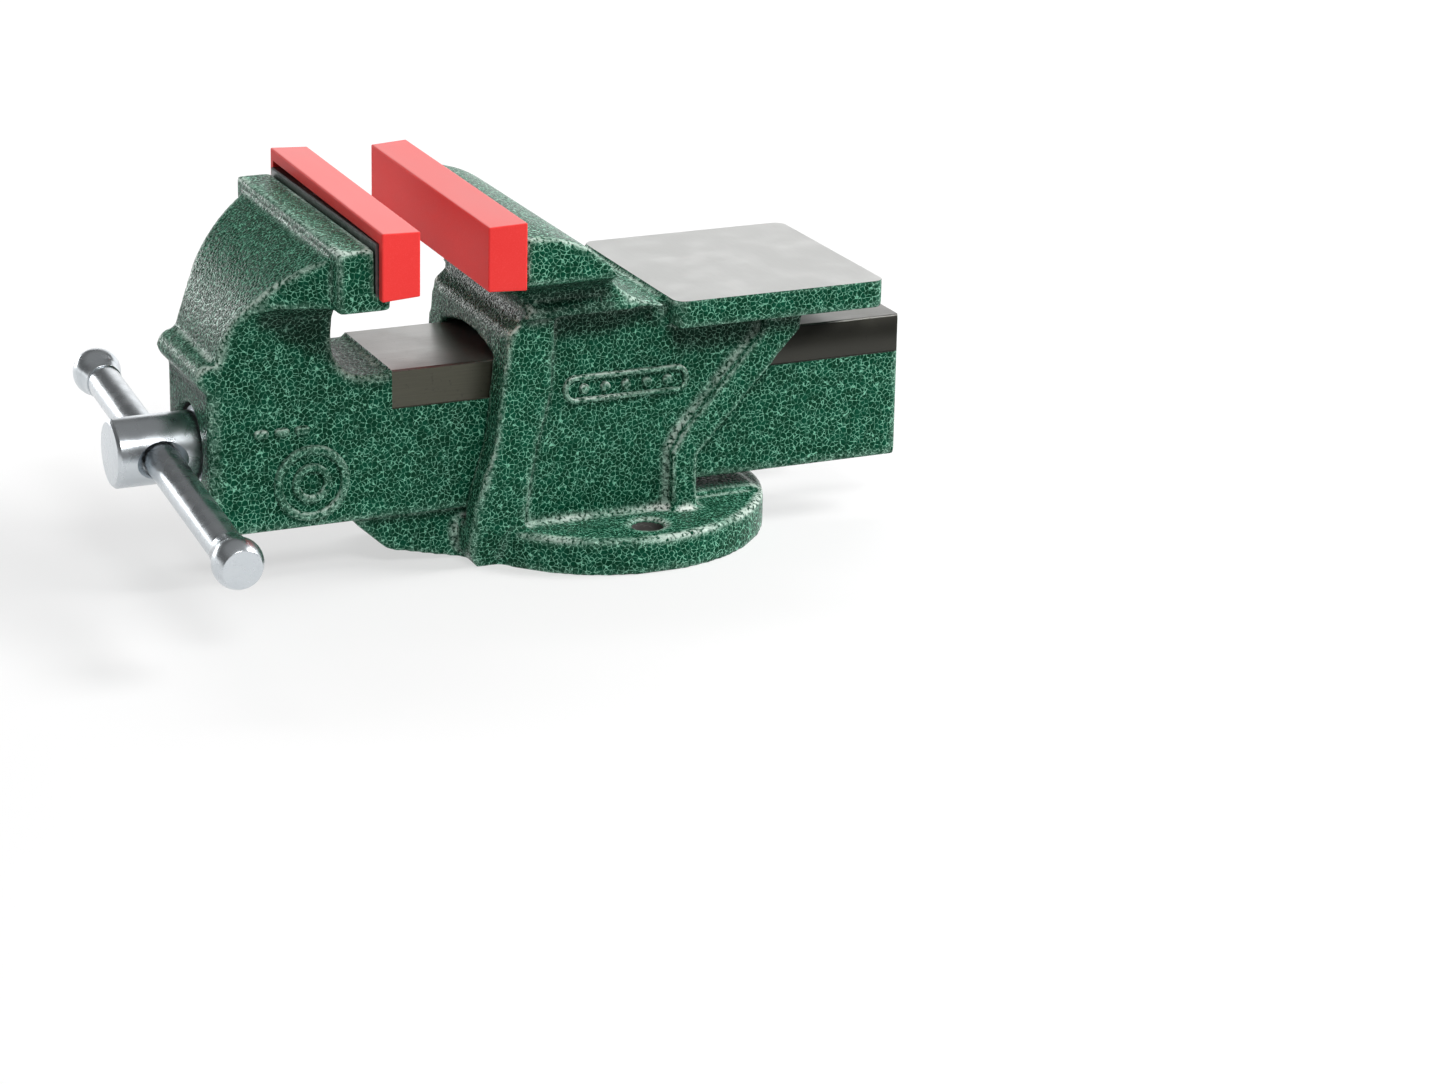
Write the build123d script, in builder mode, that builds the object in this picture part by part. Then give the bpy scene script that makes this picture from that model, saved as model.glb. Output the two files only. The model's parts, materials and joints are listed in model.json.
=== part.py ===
from build123d import *
import math
import os

# Bench vise with 100 mm jaws: a cast body on a round two-bolt base, a moving jaw cast in one
# piece with its hollow slide, a lead screw with a sliding tommy bar, steel jaw plates and
# removable soft jaw pads with magnets.  Millimetres.  The origin is the centre of the base's
# underside, +Z is up, +X points from the screw's handle to the anvil.

# ---- driving dimensions ----------------------------------------------------------------
# base
BASE_R = 52.9
BASE_T = 11.8
BASE_ROUND = 1.2
BOLT_SPACING = 80.4
BOLT_HOLE_R = 5.0
FLOOR_Z = 13.4
FLOOR_HALF = 21.5
SILL_Z = 17.6

# fixed body
WALL_HALF = 28.5
FLANGE_HALF = 34.0
REAR_RIB_HALF = 32.0
CHANNEL_HALF = 23.2
LAND_HALF = 22.6
LAND_Z = 53.6
ROOF_Z = 65.6
ROOF_CROWN_Z = 69.5
BLOCK_HALF = 37.0
BLOCK_BOTTOM_Z = 80.5
BLOCK_RIDGE_Z = 83.4
NECK_HALF = 34.8
NOSE_HALF = 18.0

# anvil
ANVIL_HALF = 38.4
ANVIL_FRONT_X = 10.1
ANVIL_REAR_X = 81.2
ANVIL_TOP_Z = 81.8
ANVIL_T = 8.8
ANVIL_CORNER_R = 3.5

# both jaws
JAW_HALF = 50.0
JAW_TOP_Z = 111.6
FIXED_JAW_TOP_Z = 110.0
FIXED_SEAT_DROP = 0.9
SEAT_Z = 97.0
LEDGE_BOTTOM_Z = 92.2
PLATE_T = 5.0
PLATE_H = 16.2
SCREW_Y = 30.0
SCREW_Z = 103.0
SCREW_R = 3.0
SCREW_HEAD_R = 5.6
SCREW_HEAD_H = 2.6
SCREW_LENGTH = 13.0
SCREW_SINK = 0.3
SCREW_SOCKET_R = 2.0
SCREW_SOCKET_DEPTH = 2.0
TAPPED_DEPTH = 9.0
THREAD_GAP = 0.05
TAPPED_GAP = 0.1
PLATE_HOLE_GAP = 0.25
PLATE_SINK_GAP = 0.4
PLATE_END_GAP = 0.2
PLATE_CHAMFER = 0.4

# soft pads
PAD_HALF = 53.2
PAD_T = 12.15
PAD_BOTTOM_Z = 96.0
PAD_TOP_Z = 117.0
PAD_BACK_GAP = 0.9
PAD_DRAFT = 0.55
PAD_FIT = 0.15
PAD_END_FIT = 0.5
MOVING_PAD_TILT = 1.0
FIXED_PAD_TILT = 0.8
MAGNET_R = 6.0
MAGNET_T = 3.0
MAGNET_Y = 22.0
MAGNET_SIDE_GAP = 0.03
MAGNET_FACE_GAP = 0.02
PAD_ROUND = 0.5

# seats of the two jaw plates, along X
FIXED_SEAT_X = -44.5
MOVING_SEAT_X = -92.06

# moving jaw and slide
FRONT_X = -135.7
SLIDE_REAR_X = 94.6
BODY_HALF = 22.8
SLIDE_HALF = 22.26
SLIDE_BOTTOM_Z = 18.0
STRIP_Z = 52.85
SLIDE_TOP_Z = 64.95
PAINT_TOP_Z = 63.9
STRIP_FRONT_X = -77.7
THROAT_X = -96.8
THROAT_TOP_Z = 90.5
THROAT_R = 12.0
THROAT_TOP_R = 5.0
HEAD_BOTTOM_Z = 72.0
LIP_FRONT_X = -103.6
BEAD_Z = 68.0
BEAD_R = 4.6
BEAD_INSET = 1.2
FRONT_CORNER_R = 3.0
CAVITY_HALF = 15.5
CAVITY_TOP_Z = 56.0
CAVITY_FRONT_X = -118.0

# lead screw and handle
AXIS_Z = 41.3
HEAD_R = 10.8
HEAD_FRONT_X = -160.8
HEAD_REAR_X = -133.7
CROSS_HOLE_X = -146.9
CROSS_HOLE_R = 6.1
RECESS_R = 13.0
RECESS_FLOOR_X = -132.2
JOURNAL_R = 8.0
SCREW_END_X = 88.0
RUNNING_FIT = 0.06
NUT_FRONT_X = -20.0
NUT_REAR_X = 20.0
NUT_HALF = 14.0
NUT_TOP_Z = 54.5
NUT_BOLT_X = 11.0
NUT_BOLT_R = 5.0
NUT_BOLT_HOLE_R = 5.25
NUT_BOLT_TOP_Z = 30.0
BOLT_RECESS_R = 10.5
BOLT_RECESS_Z = 8.0
BOLT_HEAD_H = 6.4
BOLT_HEAD_FLATS = 16.0
BOLT_WASHER_T = 1.5
BOLT_WASHER_R = 9.8
BOLT_GAP = 0.05
BOLT_WASHER_GAP = 0.2
NUT_ROUND = 6.0
BAR_R = 5.5
BAR_TILT = 5.4
BAR_NEAR = -90.5
BAR_FAR = 69.5
KNOB_R = 7.7
KNOB_FLAT = 4.9
KNOB_SHOULDER = 4.4
KNOB_COLLAR = 9.0
SPIGOT_R = 4.0
SPIGOT_END = 1.5


# a cylinder stands on its placing point
FROM_BELOW = (Align.CENTER, Align.CENTER, Align.MIN)


def side_polygon(points):
    """A closed outline in the XZ plane, given as (x, z)."""
    with BuildSketch(Plane.XZ) as sketch:
        Polygon(*points, align=None)
    return sketch.sketch


def cross_polygon(points, x=0.0):
    """A closed outline across the vise, given as (y, z), drawn at the height x along X."""
    with BuildSketch(Plane.YZ.offset(x)) as sketch:
        Polygon(*points, align=None)
    return sketch.sketch


def mirrored(points):
    """The near half of an outline across the vise with its far half added."""
    return [(y, z) for y, z in points] + [(-y, z) for y, z in reversed(points)]


def round_x(radius, x_from, x_to, y=0.0, z=AXIS_Z):
    """A cylinder along X, made outside any builder."""
    start = Plane(origin=(x_from, y, z), z_dir=(1, 0, 0))
    return start * Cylinder(radius, x_to - x_from, align=FROM_BELOW, mode=Mode.PRIVATE)


def finish_part(part, name):
    part.label = name
    export_step(part, f"parts/{name}.step")


# ---- fixed body ------------------------------------------------------------------------
# Outline of the jaw, its sloping back and the anvil, above the slide's channel
JAW_BACK_ARC = [(-41.2, FIXED_JAW_TOP_Z), (-20.6, 102.5), (-11.9, 91.6)]
ANVIL_STEP_X = ANVIL_FRONT_X - 2.0

with BuildSketch(Plane.XZ) as upper_side:
    with BuildLine():
        front = Polyline(
            (-44.9, 66.0),
            (-44.3, 74.0),
            (-40.0, 79.5),
            (-38.4, 83.0),
            (-41.0, 88.0),
            (FIXED_SEAT_X - PLATE_T, LEDGE_BOTTOM_Z - FIXED_SEAT_DROP),
            (FIXED_SEAT_X - PLATE_T, SEAT_Z - FIXED_SEAT_DROP),
            (FIXED_SEAT_X, SEAT_Z - FIXED_SEAT_DROP),
            (FIXED_SEAT_X, FIXED_JAW_TOP_Z),
            JAW_BACK_ARC[0],
        )
        back = ThreePointArc(*JAW_BACK_ARC)
        slope = ThreePointArc(back @ 1, (-3.5, 84.2), (ANVIL_STEP_X, ANVIL_TOP_Z - 1.0))
        Polyline(
            slope @ 1,
            (ANVIL_FRONT_X, ANVIL_TOP_Z - 1.0),
            (ANVIL_FRONT_X, ANVIL_TOP_Z - ANVIL_T),
            (56.6, ANVIL_TOP_Z - ANVIL_T),
            (54.9, 66.0),
            front @ 0,
        )
    make_face()

# The jaw ends cove inwards to a neck, and a ridge below it tops the block that carries the anvil
jaw_cross = mirrored(
    [
        (0, 60),
        (WALL_HALF, 60),
        (WALL_HALF, BLOCK_BOTTOM_Z),
        (BLOCK_HALF, BLOCK_BOTTOM_Z),
        (BLOCK_HALF, BLOCK_RIDGE_Z),
        (NECK_HALF, BLOCK_RIDGE_Z + 2.2),
        (NECK_HALF + 0.6, 88.2),
        (38.6, 90.6),
        (43.5, 92.8),
        (JAW_HALF, 95.5),
        (JAW_HALF, 120),
        (0, 120),
    ]
)

with BuildPart() as fixed_jaw_block:
    extrude(upper_side.sketch, amount=JAW_HALF, both=True)
    extrude(cross_polygon(jaw_cross, -60), amount=140, mode=Mode.INTERSECT)

# Leaning front edge of the body, from the foot up to the jaw
FRONT_EDGE = [(-52.0, 0), (-54.4, 4), (-55.2, 9), (-53.9, 21.6), (-48.2, 40.5), (-44.9, 66)]

wall_side = side_polygon(
    [
        *FRONT_EDGE,
        (-44.3, 74),
        (56.6, 74),
        (55.2, 67),
        (20.5, 29.0),
        (21.4, 0),
    ]
)
front_flange_side = side_polygon(
    [
        *FRONT_EDGE,
        (-43.5, 76),
        (-38.0, 80.7),
        (-28.5, 80.7),
        (-29.2, 65.3),
        (-30.1, 54.8),
        (-34.3, 39.1),
        (-36.9, 23.2),
        (-37.5, 0),
    ]
)
# Seen from the front, the flange draws in towards the foot
front_flange_cross = mirrored(
    [(0, 0), (26.0, 0), (29.0, 4), (31.5, 12), (33.2, 22), (FLANGE_HALF, 32), (FLANGE_HALF, 81), (0, 81)]
)
rear_rib_side = side_polygon(
    [
        (21.4, 0),
        (20.5, 29.0),
        (55.2, 67.0),
        (56.6, 74.1),
        (43.7, 74.1),
        (42.0, 67.0),
        (15.2, 37.0),
        (11.9, 31.0),
        (12.1, 0),
    ]
)
nose_side = side_polygon(
    [(-30, 0), (-53.4, 0), (-77.4, 5.5), (-87.4, 14.5), (-89.4, SILL_Z), (-34, SILL_Z), (-30, FLOOR_Z)]
)

with BuildSketch(Plane.YZ.offset(-70)) as channel:
    with BuildLine():
        sides = Polyline(
            (LAND_HALF, ROOF_Z),
            (LAND_HALF, LAND_Z),
            (CHANNEL_HALF, LAND_Z),
            (CHANNEL_HALF, FLOOR_Z),
            (-CHANNEL_HALF, FLOOR_Z),
            (-CHANNEL_HALF, LAND_Z),
            (-LAND_HALF, LAND_Z),
            (-LAND_HALF, ROOF_Z),
        )
        ThreePointArc(sides @ 1, (0, ROOF_CROWN_Z), sides @ 0)
    make_face()

with BuildPart() as front_flange:
    extrude(front_flange_side, amount=FLANGE_HALF, both=True)
    extrude(cross_polygon(front_flange_cross, -60), amount=40, mode=Mode.INTERSECT)

with BuildPart() as fixed_body:
    with BuildSketch():
        Circle(BASE_R)
    extrude(amount=BASE_T)
    fillet(fixed_body.edges().group_by(Axis.Z)[-1], BASE_ROUND)
    extrude(wall_side, amount=WALL_HALF, both=True)
    add(front_flange.part)
    extrude(rear_rib_side, amount=REAR_RIB_HALF, both=True)
    extrude(channel.sketch, amount=140, mode=Mode.SUBTRACT)
    # floor between the walls behind them, and the nose that carries the slide in front
    with BuildSketch(Plane.XY.offset(BASE_T)):
        with Locations((10, 0)):
            Rectangle(72, 2 * FLOOR_HALF)
    extrude(amount=FLOOR_Z - BASE_T)
    extrude(nose_side, amount=NOSE_HALF, both=True)
    add(fixed_jaw_block.part)
    extrude(channel.sketch, amount=140, mode=Mode.SUBTRACT)
    extrude(nose_side, amount=NOSE_HALF, both=True)
    with BuildSketch(Plane.XY.offset(ANVIL_TOP_Z)):
        with Locations(((ANVIL_FRONT_X + ANVIL_REAR_X) / 2, 0)):
            RectangleRounded(ANVIL_REAR_X - ANVIL_FRONT_X, 2 * ANVIL_HALF, ANVIL_CORNER_R)
    extrude(amount=-ANVIL_T)
    # bench bolt holes
    with Locations((0, BOLT_SPACING / 2, BASE_T), (0, -BOLT_SPACING / 2, BASE_T)):
        Hole(BOLT_HOLE_R)
    # clearance holes and head recesses for the two bolts that hold the nut
    with Locations((-NUT_BOLT_X, 0, 0), (NUT_BOLT_X, 0, 0)):
        Cylinder(NUT_BOLT_HOLE_R, FLOOR_Z, align=FROM_BELOW, mode=Mode.SUBTRACT)
        Cylinder(BOLT_RECESS_R, BOLT_RECESS_Z, align=FROM_BELOW, mode=Mode.SUBTRACT)
    # tapped holes for the jaw plate's screws
    for y in (-SCREW_Y, SCREW_Y):
        hole_z = SCREW_Z - FIXED_SEAT_DROP
        hole = round_x(SCREW_R + TAPPED_GAP, FIXED_SEAT_X, FIXED_SEAT_X + TAPPED_DEPTH, y, hole_z)
        add(hole, mode=Mode.SUBTRACT)
finish_part(fixed_body.part, "fixed_body")


# ---- moving jaw with its slide ---------------------------------------------------------
HEAD_ARC = [(-133.4, HEAD_BOTTOM_Z), (-121.9, 94.8), (-105.2, 107.3)]

with BuildSketch(Plane.XZ) as head_side:
    with BuildLine():
        dome = ThreePointArc(*HEAD_ARC)
        Polyline(
            dome @ 1,
            (LIP_FRONT_X, HEAD_ARC[2][1] + 0.4),
            (LIP_FRONT_X, JAW_TOP_Z),
            (MOVING_SEAT_X, JAW_TOP_Z),
            (MOVING_SEAT_X, LEDGE_BOTTOM_Z),
            (THROAT_X, LEDGE_BOTTOM_Z),
            (THROAT_X, HEAD_BOTTOM_Z),
            dome @ 0,
        )
    make_face()

# The head widens from the slide's width at the front to nearly the jaw's width
head_plan_half = [
    (-134.0, 20.6),
    (-130.2, 22.4),
    (-127.9, 24.8),
    (-124.7, 28.4),
    (-120.2, 32.2),
    (-115.4, 35.6),
    (-109.7, 39.4),
    (-106.5, 41.4),
    (LIP_FRONT_X, 43.4),
    (MOVING_SEAT_X, 47.0),
]
with BuildSketch(Plane.XY.offset(60)) as head_plan:
    Polygon(
        *[(x, -y) for x, y in head_plan_half],
        *[(x, y) for x, y in reversed(head_plan_half)],
        align=None,
    )

# Below the head the sides cove in to the slide's width
head_cross = mirrored(
    [
        (0, 66),
        (BODY_HALF, 66),
        (BODY_HALF, 80),
        (24.0, 84.6),
        (27.2, 88.6),
        (32.0, 91.2),
        (40.0, 92.2),
        (JAW_HALF + 1, 92.4),
        (JAW_HALF + 1, 115),
        (0, 115),
    ]
)

with BuildPart() as jaw_head:
    extrude(head_side.sketch, amount=JAW_HALF, both=True)
    extrude(head_plan.sketch, amount=60, mode=Mode.INTERSECT)
    extrude(cross_polygon(head_cross, -140), amount=60, mode=Mode.INTERSECT)

jaw_bar_side = side_polygon(
    [
        (LIP_FRONT_X, LEDGE_BOTTOM_Z),
        (MOVING_SEAT_X + PLATE_T, LEDGE_BOTTOM_Z),
        (MOVING_SEAT_X + PLATE_T, SEAT_Z),
        (MOVING_SEAT_X, SEAT_Z),
        (MOVING_SEAT_X, JAW_TOP_Z),
        (LIP_FRONT_X, JAW_TOP_Z),
    ]
)

# Web of the C: front face up to the head, throat behind it, slide below
with BuildSketch(Plane.XZ) as web_side:
    with BuildLine():
        lower = Polyline(
            (HEAD_ARC[0][0] + 2.5, BEAD_Z + 10),
            (HEAD_ARC[0][0], BEAD_Z + 4),
            (FRONT_X, BEAD_Z + 4),
            (FRONT_X, SLIDE_BOTTOM_Z),
            (STRIP_FRONT_X, SLIDE_BOTTOM_Z),
            (STRIP_FRONT_X, PAINT_TOP_Z),
            (THROAT_X + THROAT_R, PAINT_TOP_Z),
        )
        low_corner = RadiusArc(lower @ 1, (THROAT_X, PAINT_TOP_Z + THROAT_R), THROAT_R)
        rise = Line(low_corner @ 1, (THROAT_X, THROAT_TOP_Z - THROAT_TOP_R))
        top_corner = RadiusArc(rise @ 1, (THROAT_X + THROAT_TOP_R, THROAT_TOP_Z), THROAT_TOP_R)
        Polyline(top_corner @ 1, (-91.0, LEDGE_BOTTOM_Z + 0.5), (-118.0, LEDGE_BOTTOM_Z + 0.5), lower @ 0)
    make_face()

# Section of the slide: machined strips along the top, painted below them, hollow underneath.
# The machined top stands a little above the painted floor of the throat.
slide_cross = mirrored(
    [
        (0, SLIDE_TOP_Z),
        (SLIDE_HALF, SLIDE_TOP_Z),
        (SLIDE_HALF, STRIP_Z),
        (BODY_HALF, STRIP_Z - 0.4),
        (BODY_HALF, SLIDE_BOTTOM_Z),
        (0, SLIDE_BOTTOM_Z),
    ]
)

with BuildPart() as moving_jaw:
    extrude(web_side.sketch, amount=BODY_HALF, both=True)
    extrude(cross_polygon(slide_cross, STRIP_FRONT_X), amount=SLIDE_REAR_X - STRIP_FRONT_X)
    # rounded front corners and the bead across the front
    fillet(moving_jaw.edges().filter_by(Axis.Z).group_by(Axis.X)[0], FRONT_CORNER_R)
    add(jaw_head.part)
    extrude(jaw_bar_side, amount=JAW_HALF, both=True)
    with BuildSketch(Plane.XZ):
        with Locations((FRONT_X + BEAD_INSET, BEAD_Z)):
            Circle(BEAD_R)
    extrude(amount=BODY_HALF - 0.8, both=True)
    # hollow slide, open below and behind
    with BuildSketch(Plane.YZ.offset(CAVITY_FRONT_X)):
        with Locations((0, (SLIDE_BOTTOM_Z + CAVITY_TOP_Z) / 2)):
            Rectangle(2 * CAVITY_HALF, CAVITY_TOP_Z - SLIDE_BOTTOM_Z)
    extrude(amount=SLIDE_REAR_X - CAVITY_FRONT_X, mode=Mode.SUBTRACT)
    # bearing of the lead screw in the front wall
    add(round_x(JOURNAL_R + RUNNING_FIT, FRONT_X, CAVITY_FRONT_X), mode=Mode.SUBTRACT)
    add(round_x(RECESS_R, FRONT_X, RECESS_FLOOR_X), mode=Mode.SUBTRACT)
    for y in (-SCREW_Y, SCREW_Y):
        hole = round_x(SCREW_R + TAPPED_GAP, MOVING_SEAT_X - TAPPED_DEPTH, MOVING_SEAT_X, y, SCREW_Z)
        add(hole, mode=Mode.SUBTRACT)
finish_part(moving_jaw.part, "moving_jaw")


# ---- jaw plates and their countersunk screws ---------------------------------------------
def make_jaw_plate(seat_x, drop, clamp_side, name):
    """A steel plate on its seat; clamp_side is +1 when its clamping face looks along +X."""
    face_x = seat_x + clamp_side * PLATE_T
    with BuildPart() as plate:
        with BuildSketch(Plane.YZ.offset(min(seat_x, face_x))):
            with Locations((0, SEAT_Z - drop + PLATE_H / 2)):
                Rectangle(2 * (JAW_HALF - PLATE_END_GAP), PLATE_H)
        extrude(amount=PLATE_T)
        chamfer(plate.edges().filter_by(Axis.Y), PLATE_CHAMFER)
        mouth = Plane(origin=(face_x, 0, 0), x_dir=(0, 1, 0), z_dir=(clamp_side, 0, 0))
        for y in (-SCREW_Y, SCREW_Y):
            z = (SCREW_Z - drop) * clamp_side
            with Locations(mouth * Location((y, z, 0))):
                CounterSinkHole(
                    radius=SCREW_R + PLATE_HOLE_GAP,
                    counter_sink_radius=SCREW_HEAD_R + PLATE_SINK_GAP,
                    counter_sink_angle=90,
                )
    finish_part(plate.part, name)


def make_plate_screws(seat_x, drop, clamp_side, name):
    """Two countersunk screws with hexagon sockets, as one node."""
    head_x = seat_x + clamp_side * (PLATE_T - SCREW_SINK)
    screw_z = SCREW_Z - drop
    with BuildPart() as screws:
        for y in (-SCREW_Y, SCREW_Y):
            axis = Axis((head_x, y, screw_z), (1, 0, 0))
            with BuildSketch(Plane(origin=(head_x, y, screw_z), x_dir=(-clamp_side, 0, 0), z_dir=(0, 1, 0))):
                side = -clamp_side
                Polygon(
                    (0, 0),
                    (0, side * SCREW_HEAD_R),
                    (SCREW_HEAD_H, side * (SCREW_R - THREAD_GAP)),
                    (SCREW_LENGTH, side * (SCREW_R - THREAD_GAP)),
                    (SCREW_LENGTH, 0),
                    align=None,
                )
            revolve(axis=axis)
            with BuildSketch(Plane(origin=(head_x, y, screw_z), z_dir=(-clamp_side, 0, 0))):
                RegularPolygon(SCREW_SOCKET_R, 6, major_radius=False)
            extrude(amount=SCREW_SOCKET_DEPTH, mode=Mode.SUBTRACT)
    finish_part(screws.part, name)


make_jaw_plate(FIXED_SEAT_X, FIXED_SEAT_DROP, -1, "fixed_jaw_plate")
make_jaw_plate(MOVING_SEAT_X, 0, 1, "moving_jaw_plate")
make_plate_screws(FIXED_SEAT_X, FIXED_SEAT_DROP, -1, "fixed_jaw_screws")
make_plate_screws(MOVING_SEAT_X, 0, 1, "moving_jaw_screws")


# ---- soft jaw pads ----------------------------------------------------------------------
def make_pad(seat_x, drop, tilt, clamp_side, name):
    """A moulded pad that caps the jaw plate, with two magnets set in the recess behind it.

    It rests on the plate at its near end only: the far end stands a little high, by tilt degrees.
    """
    back_x = seat_x + clamp_side * PAD_BACK_GAP
    recess_depth = PLATE_T - PAD_BACK_GAP + PAD_FIT
    recess_half = JAW_HALF + PAD_END_FIT
    recess_top = SEAT_Z + PLATE_H + PAD_FIT
    middle_z = (PAD_BOTTOM_Z + PAD_TOP_Z) / 2
    back = Plane(origin=(back_x, 0, middle_z), x_dir=(0, 1, 0), z_dir=(clamp_side, 0, 0))
    rest = Pos(0, -recess_half, recess_top)
    settle = Pos(0, 0, -drop) * rest * Rot(tilt, 0, 0) * rest.inverse()
    with BuildPart() as pad:
        with BuildSketch(back):
            Rectangle(2 * PAD_HALF, PAD_TOP_Z - PAD_BOTTOM_Z)
        with BuildSketch(back.offset(PAD_T)):
            Rectangle(2 * (PAD_HALF - PAD_DRAFT), PAD_TOP_Z - PAD_BOTTOM_Z - 2 * PAD_DRAFT)
        loft()
        fillet(pad.edges(), PAD_ROUND)
        with BuildSketch(back):
            with Locations((0, clamp_side * ((PAD_BOTTOM_Z - 1 + recess_top) / 2 - middle_z))):
                Rectangle(2 * recess_half, recess_top - PAD_BOTTOM_Z + 1)
        extrude(amount=recess_depth, mode=Mode.SUBTRACT)
        with BuildSketch(back.offset(recess_depth)):
            with Locations((-MAGNET_Y, 0), (MAGNET_Y, 0)):
                Circle(MAGNET_R)
        extrude(amount=MAGNET_T, mode=Mode.SUBTRACT)
    finish_part(settle * pad.part, name)

    with BuildPart() as magnets:
        with BuildSketch(back.offset(recess_depth)):
            with Locations((-MAGNET_Y, 0), (MAGNET_Y, 0)):
                Circle(MAGNET_R - MAGNET_SIDE_GAP)
        extrude(amount=MAGNET_T - MAGNET_FACE_GAP)
    finish_part(settle * magnets.part, name + "_magnets")


make_pad(FIXED_SEAT_X, FIXED_SEAT_DROP, FIXED_PAD_TILT, -1, "fixed_pad")
make_pad(MOVING_SEAT_X, 0, MOVING_PAD_TILT, 1, "moving_pad")


# ---- lead screw, its washers, spring and pin ---------------------------------------------
SPRING_WIRE_R = 1.0
SPRING_R = 10.2
SPRING_TURNS = 3
SPRING_FRONT_X = CAVITY_FRONT_X + 0.4
SPRING_LENGTH = 8.6
WASHER_FRONT_X = -107.6
WASHER_T = 2.0
WASHER_R = 12.0
WASHER_BORE_GAP = 0.2
THRUST_WASHER_R = 12.0
PIN_R = 1.6
PIN_HALF = 11.0
PIN_HOLE_GAP = 0.05
PIN_CHAMFER = 0.4
PIN_X = WASHER_FRONT_X + WASHER_T + PIN_R + 0.1
HEAD_FRONT_CHAMFER = 1.0
HEAD_REAR_CHAMFER = 0.4
SCREW_END_CHAMFER = 1.5

with BuildPart() as lead_screw:
    with BuildSketch(Plane(origin=(0, 0, AXIS_Z), x_dir=(1, 0, 0), z_dir=(0, -1, 0))):
        Polygon(
            (HEAD_FRONT_X, 0),
            (HEAD_FRONT_X, HEAD_R - HEAD_FRONT_CHAMFER),
            (HEAD_FRONT_X + HEAD_FRONT_CHAMFER, HEAD_R),
            (HEAD_REAR_X - HEAD_REAR_CHAMFER, HEAD_R),
            (HEAD_REAR_X, HEAD_R - HEAD_REAR_CHAMFER),
            (HEAD_REAR_X, JOURNAL_R),
            (SCREW_END_X - SCREW_END_CHAMFER, JOURNAL_R),
            (SCREW_END_X, JOURNAL_R - SCREW_END_CHAMFER),
            (SCREW_END_X, 0),
            align=None,
        )
    revolve(axis=Axis((0, 0, AXIS_Z), (1, 0, 0)))
    bar_direction = (0, math.cos(math.radians(BAR_TILT)), math.sin(math.radians(BAR_TILT)))
    with BuildSketch(Plane(origin=(CROSS_HOLE_X, 0, AXIS_Z), x_dir=(1, 0, 0), z_dir=bar_direction)):
        Circle(CROSS_HOLE_R)
    extrude(amount=2 * HEAD_R, both=True, mode=Mode.SUBTRACT)
    with BuildSketch(Plane.XY.offset(AXIS_Z)):
        with Locations((PIN_X, 0)):
            Circle(PIN_R + PIN_HOLE_GAP)
    extrude(amount=2 * JOURNAL_R, both=True, mode=Mode.SUBTRACT)
finish_part(lead_screw.part, "lead_screw")

with BuildPart() as thrust_washer:
    add(round_x(THRUST_WASHER_R, HEAD_REAR_X + 0.02, RECESS_FLOOR_X - 0.08))
    add(round_x(JOURNAL_R + WASHER_BORE_GAP, HEAD_REAR_X, RECESS_FLOOR_X), mode=Mode.SUBTRACT)
finish_part(thrust_washer.part, "thrust_washer")

with BuildPart() as retaining_washer:
    add(round_x(WASHER_R, WASHER_FRONT_X, WASHER_FRONT_X + WASHER_T))
    add(round_x(JOURNAL_R + WASHER_BORE_GAP, WASHER_FRONT_X, WASHER_FRONT_X + WASHER_T), mode=Mode.SUBTRACT)
finish_part(retaining_washer.part, "retaining_washer")

with BuildPart() as screw_spring:
    spring_start = SPRING_FRONT_X + SPRING_WIRE_R
    pitch = (SPRING_LENGTH - 2 * SPRING_WIRE_R) / SPRING_TURNS
    with BuildLine():
        coil = Helix(
            pitch=pitch,
            height=pitch * SPRING_TURNS,
            radius=SPRING_R,
            center=(spring_start, 0, AXIS_Z),
            direction=(1, 0, 0),
        )
    with BuildSketch(Plane(origin=coil @ 0, z_dir=coil % 0)):
        Circle(SPRING_WIRE_R)
    sweep(path=coil, is_frenet=True)
finish_part(screw_spring.part, "screw_spring")

with BuildPart() as retaining_pin:
    with BuildSketch(Plane.XY.offset(AXIS_Z - PIN_HALF)):
        with Locations((PIN_X, 0)):
            Circle(PIN_R)
    extrude(amount=2 * PIN_HALF)
    chamfer(retaining_pin.edges(), PIN_CHAMFER)
finish_part(retaining_pin.part, "retaining_pin")


# ---- nut under the slide, held by two bolts through the floor -----------------------------
with BuildPart() as lead_screw_nut:
    with BuildSketch(Plane.XY.offset(FLOOR_Z)):
        with Locations(((NUT_FRONT_X + NUT_REAR_X) / 2, 0)):
            Rectangle(NUT_REAR_X - NUT_FRONT_X, 2 * NUT_HALF)
    extrude(amount=NUT_TOP_Z - FLOOR_Z)
    fillet(lead_screw_nut.edges().filter_by(Axis.X).group_by(Axis.Z)[-1], NUT_ROUND)
    add(round_x(JOURNAL_R + RUNNING_FIT, NUT_FRONT_X, NUT_REAR_X), mode=Mode.SUBTRACT)
    with Locations((-NUT_BOLT_X, 0, FLOOR_Z), (NUT_BOLT_X, 0, FLOOR_Z)):
        Cylinder(NUT_BOLT_R, NUT_BOLT_TOP_Z - FLOOR_Z + 1, align=FROM_BELOW, mode=Mode.SUBTRACT)
finish_part(lead_screw_nut.part, "lead_screw_nut")

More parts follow.
